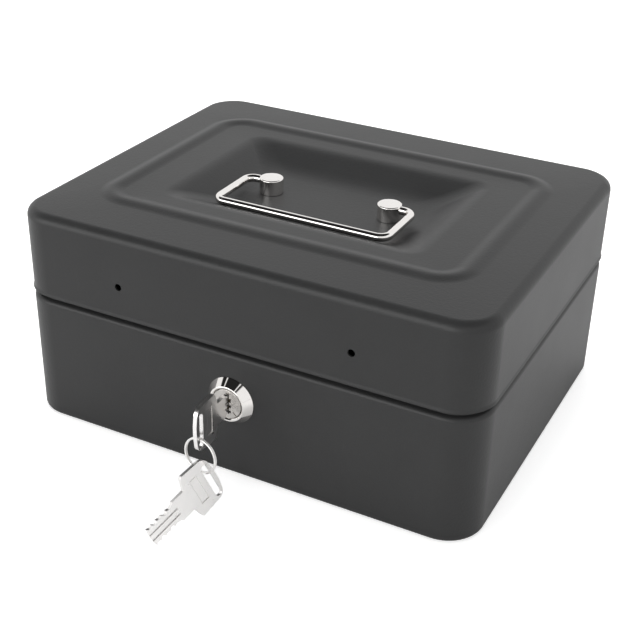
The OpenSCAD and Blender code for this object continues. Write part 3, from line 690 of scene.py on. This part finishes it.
keep_flats_flat(plug)

# %% [markdown]
# ## Keys
# A key is stamped from flat strip, so it starts as one flat face with the outline of the bow, the collar and
# the cut blade. The corners of the bow are rounded by bevelling those vertices alone, more at the free end
# than at the shoulders. The face is extruded to the key's thickness. Then the slot for the ring, the sunk
# panel with the fine groove pressed round it, and the two grooves of the blade are cut into both faces, and a
# small bevel breaks all edges, as the tumbling drum does with real keys.

# %% Key outline
KEY_T, HALF_BOW, BOW_END, HALF_BLADE = 1.6, 10.15, -12, 3.95
SHOULDER_R, BOW_END_R = 0.9, 2.9
BOW = [(0, -HALF_BOW), (0, HALF_BOW), (BOW_END, HALF_BOW - 0.8), (-13, 2.5), (-13, -2.5),
       (BOW_END, -HALF_BOW + 0.8)]
CUTS, FIRST_CUT, CUT_PITCH = [0.4, 1.0, 0.3, 0.9, 0.5], 8.8, 2.5


def blade_side(side):
    """The cuts along one side of the blade, u along the key and v across it."""
    points = []
    for number, depth in enumerate(CUTS):
        u = FIRST_CUT + number * CUT_PITCH
        points += [(u, side * HALF_BLADE), (u + 0.8, side * (HALF_BLADE - depth)),
                   (u + 1.5, side * (HALF_BLADE - depth)), (u + 2.3, side * 3.85)]
    return points


def key_shape():
    bm = bmesh.new()
    outline = [BOW[0], (1.7, -4.8), (7.6, -4.8), (8.2, -HALF_BLADE), *blade_side(-1), (21.5, -1.6), (21.5, 1.6),
               *reversed(blade_side(1)), (8.2, HALF_BLADE), (7.6, 4.8), (1.7, 4.8), *BOW[1:]]
    verts = [bm.verts.new((u, v, -KEY_T / 2)) for u, v in outline]
    bm.faces.new(verts)
    shoulders = [vert for vert, point in zip(verts, outline) if point in BOW and point[0] == 0]
    corners = [vert for vert, point in zip(verts, outline) if point in BOW and point[0] == BOW_END]
    for rounded, reach, steps in ((shoulders, SHOULDER_R, 5), (corners, BOW_END_R, 9)):
        bmesh.ops.bevel(bm, geom=rounded, offset=reach, offset_type="OFFSET", segments=steps, profile=0.5,
                        affect="VERTICES", material=-1)
    made = bmesh.ops.extrude_face_region(bm, geom=bm.faces[:])["geom"]
    bmesh.ops.translate(bm, vec=(0, 0, KEY_T), verts=verts_of(made))
    bmesh.ops.recalc_face_normals(bm, faces=bm.faces)
    return bm


# %% Cuts in a key
SLOT_U, SLOT_ENDS, SLOT_R = -10, (-5.3, 7.0), 1.5
PANEL, PANEL_DEPTH = ((-5.7, -5.9), (-2.0, 5.6)), 0.2
GROOVES_V, GROOVE_HALF, GROOVE_DEPTH = (-1.3, 1.3), 0.4, 0.45
FRAME_SIDES = (((-5.72, -5.92), (-5.32, 5.62)), ((-2.38, -5.92), (-1.98, 5.62)))
FRAME_ENDS = (((-5.74, -5.94), (-1.96, -5.54)), ((-5.74, 5.24), (-1.96, 5.64)))
FRAME_DEPTH = 0.5


def slot_ends_cutter():
    bm = bmesh.new()
    for v in SLOT_ENDS:
        add_rod(bm, (SLOT_U, v, -2), (SLOT_U, v, 2), SLOT_R, 40)
    return bm


def slot_cutter():
    bm = bmesh.new()
    add_block(bm, (SLOT_U - SLOT_R, SLOT_ENDS[0], -2), (SLOT_U + SLOT_R, SLOT_ENDS[1], 2))
    return bm


def face_cutter(blocks):
    """Sinks rectangles, each (low corner, high corner, depth), into both faces of a key."""
    bm = bmesh.new()
    for side in (-1, 1):
        face = side * KEY_T / 2
        for low, high, depth in blocks:
            add_block(bm, (*low, face - depth), (*high, face + depth))
    return bm


# %% A whole key
KEY_SHARP, BROKEN_EDGE = 40, 0.22
RELIEFS = [(*PANEL, PANEL_DEPTH)] + [
    ((7.0, v - GROOVE_HALF), (30, v + GROOVE_HALF), GROOVE_DEPTH) for v in GROOVES_V]


def make_key(name, body, node, place, turn):
    key = new_piece(name, key_shape(), "nickel", body, [node])
    cut(key, slot_ends_cutter())
    cut(key, slot_cutter())
    cut(key, face_cutter(RELIEFS))
    for pair in (FRAME_SIDES, FRAME_ENDS):       # apart, because the sides overlap the ends
        cut(key, face_cutter([(*corners, FRAME_DEPTH) for corners in pair]))
    edges = key.modifiers.new("broken_edges", "BEVEL")
    edges.width, edges.segments, edges.limit_method = BROKEN_EDGE * MM, 2, "ANGLE"
    edges.angle_limit = math.radians(KEY_SHARP)
    settle(key, KEY_SHARP)
    a, b, c = (math.radians(angle) for angle in turn)
    key.data.transform(Matrix.Translation(Vector(place) * MM) @ Matrix.Rotation(c, 4, "Z")
                       @ Matrix.Rotation(b, 4, "Y") @ Matrix.Rotation(a, 4, "X"))
    keep_flats_flat(key)


# %% Keys in their places
make_key("key_in_lock", "key", "lock_key", place=(0, -92.5, LOCK_Z), turn=(-90, 0, 90))
make_key("key_spare", "spare", "spare_key", place=(2.33, -112.95, 11.27), turn=(-75.4, 19.4, -104.5))

# %% [markdown]
# ### The split ring
# A split ring is two turns of flattened spring wire that lie on each other, with a short step between them.
# The spin operator can climb while it turns, so a small oval goes almost once round level, climbs by one turn
# in the last few degrees, and goes round level again.

# %% Split ring
RING_R, RING_THICK, TURN_HEIGHT, TURN_STEP = 7.15, 0.8, 0.55, 0.7
SPINS = ((335, 0, 80), (25, TURN_STEP, 10), (335, 0, 80))      # degrees, climb, steps
RING_PLACE, RING_LEAN, RING_TURN = (0.76, -103.41, 23.47), 87.1, -98
bm = bmesh.new()
section = wire_end(bm, (RING_R, 0, -TURN_STEP / 2), (0, 1, 0), 0.5, 12)
bmesh.ops.scale(bm, vec=(RING_THICK, 1, TURN_HEIGHT), verts=bm.verts,
                space=Matrix.Translation((-RING_R, 0, TURN_STEP / 2)))
last = section
for degrees, climb, steps in SPINS:
    made = bmesh.ops.spin(bm, geom=last, cent=(0, 0, 0), axis=(0, 0, 1), dvec=(0, 0, climb / steps),
                          angle=math.radians(degrees), steps=steps, use_duplicate=False)
    last = edges_of(made["geom_last"])
close_ends(bm, section, last)
tilt = Matrix.Rotation(math.radians(RING_TURN), 4, "Z") @ Matrix.Rotation(math.radians(RING_LEAN), 4, "Y")
bmesh.ops.transform(bm, matrix=Matrix.Translation(RING_PLACE) @ tilt, verts=bm.verts)
new_piece("split_ring", bm, "nickel", "ring", ["key_ring"], sharp=60)

# %% [markdown]
# ## Small steel and plastic parts
# The nut, washers, cam, catch, hinges, rails and tray already have the right shape. What they lack is the
# small radius that every real edge has, and that catches the light. So each becomes a copy of its mechanical
# part: its loose triangles are merged, flat areas are dissolved into single faces, and a narrow bevel is added.

# %% Softened copies
SOFT_SHARP = 38      # degrees: edges that turn by more get the bevel
SAME_POINT = 0.005   # points nearer than this are one point
SAME_PLANE = 0.5     # degrees: faces that differ by less are one face


def softened(name, node, finish, body, width, segments=2):
    bm = bmesh.new()
    bm.from_mesh(nodes[node].data)
    bmesh.ops.remove_doubles(bm, verts=bm.verts, dist=SAME_POINT * MM)
    bmesh.ops.dissolve_limit(bm, angle_limit=math.radians(SAME_PLANE), use_dissolve_boundaries=False,
                             verts=bm.verts, edges=bm.edges, delimit=set())
    bmesh.ops.scale(bm, vec=(1 / MM, 1 / MM, 1 / MM), verts=bm.verts)
    piece = new_piece(name, bm, finish, body, [node], sharp=SOFT_SHARP)
    edges = piece.modifiers.new("soft_edges", "BEVEL")
    edges.width, edges.segments, edges.limit_method = width * MM, segments, "ANGLE"
    edges.angle_limit = math.radians(SOFT_SHARP)
    settle(piece, SOFT_SHARP)
    keep_flats_flat(piece)


# %% Which copies, and how wide their bevels are
for row in (("hinge_leaves_base", "base_hinge_leaves", "paint", "box", 0.15),
            ("hinge_leaves_lid", "lid_hinge_leaves", "paint", "lid", 0.15),
            ("hinge_pin_pair", "hinge_pins", "zinc", "box", 0.2),
            ("post_screws", "handle_screws", "zinc", "lid", 0.15),
            ("post_washers", "handle_washers", "zinc", "lid", 0.1),
            ("toothed_washer", "lock_washer", "zinc", "box", 0.08),
            ("hex_nut", "lock_nut", "zinc", "box", 0.3),
            ("stop_disc", "stop_washer", "zinc", "plug", 0.1),
            ("cam_plate", "lock_cam", "zinc", "plug", 0.2),
            ("cam_spring_washer", "cam_washer", "zinc", "plug", 0.08),
            ("cam_screw_head", "cam_screw", "zinc", "plug", 0.2),
            ("catch_plate", "lid_catch", "zinc", "lid", 0.2),
            ("wafer_set", "lock_wafers", "brass", "plug", 0.05),
            ("rail_left", "tray_rail_left", "paint", "box", 0.2),
            ("rail_right", "tray_rail_right", "paint", "box", 0.2),
            ("tray_moulding", "coin_tray", "plastic", "tray", 0.5, 3)):
    softened(*row)

# %% [markdown]
# ### Wafer springs
# Each brass wafer is pushed by a spring hardly thicker than a needle. Like the split ring it is a climbing
# spin, with six turns.

# %% Springs
FIRST_WAFER_Y, WAFER_PITCH, WAFER_HALF = -80.6, 2.1, 0.45
SPRING_R, SPRING_WIRE_R, SPRING_TURNS, SPRING_HEIGHT, SPRING_STEPS = 0.3, 0.09, 6, 2.4, 96
bm = bmesh.new()
for number in range(5):
    centre = (3.35, FIRST_WAFER_Y + number * WAFER_PITCH + WAFER_HALF, LOCK_Z + 0.52)
    section = wire_end(bm, (centre[0] + SPRING_R, centre[1], centre[2] + 0.1), (0, 1, 0), SPRING_WIRE_R, 6)
    made = bmesh.ops.spin(bm, geom=section, cent=centre, axis=(0, 0, 1),
                          dvec=(0, 0, SPRING_HEIGHT / SPRING_STEPS),
                          angle=math.radians(360 * SPRING_TURNS), steps=SPRING_STEPS, use_duplicate=False)
    close_ends(bm, section, edges_of(made["geom_last"]))
new_piece("spring_set", bm, "zinc", "plug", ["wafer_springs"], sharp=70)

# %% [markdown]
# ## Materials for the mechanical parts that stay
# Every mechanical part has by now been replaced by a finished piece, but the hidden ones keep a finish too, so
# that nothing is ever seen in plain grey.

# %% Finishes on the mechanical parts
# Two finishes belong to the slot chrome, and the later one in the list, the plain chrome, wins here.
SLOT_FINISH = {slot: finish for finish, slot in SLOTS.items()}
for entry in frame["record"]["subparts"]:
    mesh = nodes[entry["node"]].data
    mesh.materials.clear()
    mesh.materials.append(FINISHES[SLOT_FINISH[entry["material_slot"]]])
print("finishes assigned to", len(nodes), "mechanical parts")

# %% [markdown]
# ## The studio
# A satin or chromed surface shows the room more than its own colour, so the room matters as much as the
# paint. This one has a white table, white walls all round and a dark ceiling. The top edge of the walls stands
# higher behind the box and to its right, and lower at its left. A broad bright strip stands at the front left,
# and two small lamps in the ceiling give the thin bright lines in the dark part of the lock's bezel. The
# camera itself always sees plain white behind the object.
#
# The room is drawn in the world shader, as a brightness for each direction. Heights are sines of the
# elevation, from 0 at the horizon to 1 overhead. The wall is a smooth step at its top edge, and that edge is
# a number that a few directions raise or lower.

# %% The room
def smooth_step(finish, wire, start, end):
    """0 before the start, 1 after the end, and a smooth way between them."""
    return finish.node("ShaderNodeMapRange", {"interpolation_type": "SMOOTHSTEP"}, {
        "Value": wire, "From Min": start, "From Max": end})


def toward(finish, direction, azimuth):
    """The cosine of the angle from a compass direction, for level and slanting rays alike."""
    turn = math.radians(azimuth)
    return finish.node("ShaderNodeVectorMath", {"operation": "DOT_PRODUCT"}, {
        0: direction, 1: (math.sin(turn), -math.cos(turn), 0)}, output="Value")


# %% Walls, strip and ceiling
WALL_LEVEL, CEILING_LEVEL, STRIP_LEVEL, GLINT_LEVEL = 1.05, 0.02, 2.6, 0.9
WALL_TOP, BACK_RISE, RIGHT_RISE, LEFT_DROP, WALL_BLUR = 0.62, 0.14, 0.135, 0.124, 0.03
BACK_AT, RIGHT_AT, LEFT_AT, STRIP_AT = 200, 54, -88, -25     # degrees, 0 in front and 90 at the right
sky = bpy.data.worlds.new("sky")
scene.world = sky
sky.use_nodes = True
room = Finish("room", tree=sky.node_tree)
direction = room.node("ShaderNodeTexCoord", output="Generated")
height = room.node("ShaderNodeSeparateXYZ", {}, {"Vector": direction}, output="Z")
# The two numbers of each step are the cosines between which it rises from 0 to 1.
to_back = smooth_step(room, toward(room, direction, BACK_AT), -0.3, 0.5)
to_right = smooth_step(room, toward(room, direction, RIGHT_AT), 0.1, 0.5)
to_left = smooth_step(room, toward(room, direction, LEFT_AT), 0.4, 0.7)
wall_top = WALL_TOP + to_back * BACK_RISE + to_right * RIGHT_RISE - to_left * LEFT_DROP
wall = smooth_step(room, wall_top - height, -WALL_BLUR, WALL_BLUR)
strip = smooth_step(room, toward(room, direction, STRIP_AT), 0.74, 0.9) * (
    1 - smooth_step(room, height, 0.52, 0.6))

# %% Two small lamps, and all of the room together
GLINTS = ((-65.5, 50.5), (33.7, 57.4))       # azimuth and elevation in degrees
GLINT_EDGE, GLINT_CORE = 3.2, 1.6            # degrees from the middle of the lamp


def glint(azimuth, rise):
    """A small round lamp seen in one direction."""
    turn, rise = math.radians(azimuth), math.radians(rise)
    aim = (math.sin(turn) * math.cos(rise), -math.cos(turn) * math.cos(rise), math.sin(rise))
    near = room.node("ShaderNodeVectorMath", {"operation": "DOT_PRODUCT"}, {0: direction, 1: aim},
                     output="Value")
    return smooth_step(room, near, math.cos(math.radians(GLINT_EDGE)), math.cos(math.radians(GLINT_CORE)))


glints = glint(*GLINTS[0]) + glint(*GLINTS[1])
level = wall * (WALL_LEVEL - CEILING_LEVEL) + CEILING_LEVEL + strip * STRIP_LEVEL + glints * GLINT_LEVEL
to_camera = room.node("ShaderNodeLightPath", output="Is Camera Ray")
strength = level * (1 - to_camera) + to_camera
room.node("ShaderNodeOutputWorld", {}, {
    "Surface": room.node("ShaderNodeBackground", {}, {"Color": grey(1.0), "Strength": strength})})
print("room drawn with", len(sky.node_tree.nodes), "nodes")

# %% [markdown]
# ### The table
# The table looks white to the camera because its material adds light of its own for camera rays, and a
# little for mirror rays. The box gets no more diffuse light from it that way, and its shadow stays.

# %% Table
TABLE_R, TABLE_WHITE, CAMERA_GLOW, MIRROR_GLOW = 6, 0.8, 0.5, 0.08     # the radius is in metres
table = Finish("studio_floor")
to_camera = table.node("ShaderNodeLightPath", output="Is Camera Ray")
to_mirrors = (table.node("ShaderNodeLightPath", output="Is Glossy Ray")
              + table.node("ShaderNodeLightPath", output="Is Transmission Ray"))
white = table.node("ShaderNodeBsdfDiffuse", {}, {"Color": grey(TABLE_WHITE)})
glow = table.node("ShaderNodeEmission", {}, {
    "Color": grey(1.0), "Strength": to_camera * CAMERA_GLOW + to_mirrors * MIRROR_GLOW})
table.node("ShaderNodeOutputMaterial", {}, {
    "Surface": table.node("ShaderNodeAddShader", {}, {0: white, 1: glow})})
bm = bmesh.new()
bmesh.ops.create_circle(bm, cap_ends=True, segments=64, radius=TABLE_R)
floor_mesh = bpy.data.meshes.new("floor")
bm.to_mesh(floor_mesh)
bm.free()
floor_mesh.materials.append(table.material)
floor = bpy.data.objects.new("floor", floor_mesh)
scene.collection.objects.link(floor)
print("table of", TABLE_R, "m round the box")

# %% [markdown]
# ### Lamps
# Two broad lamps give the plain light that brings out colours. They are hidden from mirror rays, because a
# round lamp in the middle of a chromed handle would give the studio away.

# %% Lamps
LAMPS_AIM = Vector((0, 0, 0.05))


def soft_lamp(name, place, size, watts):
    """A round lamp aimed at the box, its place and size in metres."""
    lamp = bpy.data.lights.new(name, "AREA")
    lamp.shape, lamp.size, lamp.energy = "DISK", size, watts
    holder = bpy.data.objects.new(name, lamp)
    holder.location = place
    holder.rotation_euler = (LAMPS_AIM - Vector(place)).to_track_quat("-Z", "Y").to_euler()
    holder.visible_glossy = False
    scene.collection.objects.link(holder)
    print(f"{name}: {watts} W")


soft_lamp("top_lamp", place=(-0.3, 0.2, 1.8), size=1.6, watts=26)
soft_lamp("side_lamp", place=(1.4, -1.2, 1.1), size=1.2, watts=4)
